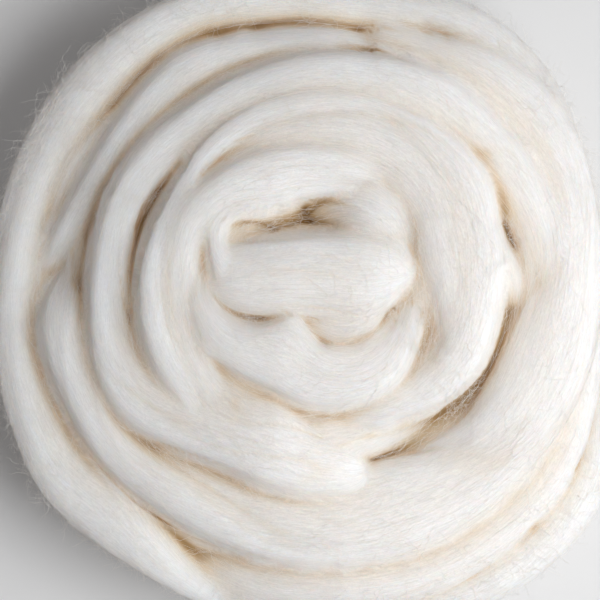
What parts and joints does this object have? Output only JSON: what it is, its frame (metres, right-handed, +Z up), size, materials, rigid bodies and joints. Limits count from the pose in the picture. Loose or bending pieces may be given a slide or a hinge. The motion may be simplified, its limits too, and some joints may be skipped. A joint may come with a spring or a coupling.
{
  "type": "coil of combed wool roving",
  "caption": "Coil of natural white combed wool roving, one soft untwisted sliver wound round and round into a low domed nest with its start doubled over in the middle.",
  "frame": {"origin": "middle of the coil, on the flat underside that it rests on", "axes": "+Z up out of the coil, +Y across the coil from the doubled start towards the hollow beside it, +X along the doubled start"},
  "size_m": [0.2468, 0.2647, 0.0842],
  "materials": {
    "wool": "matt, fine combed fibres with a faint soft lustre"
  },
  "bodies": {
    "root": {"roving_coil": "wool"}
  },
  "joints": []
}
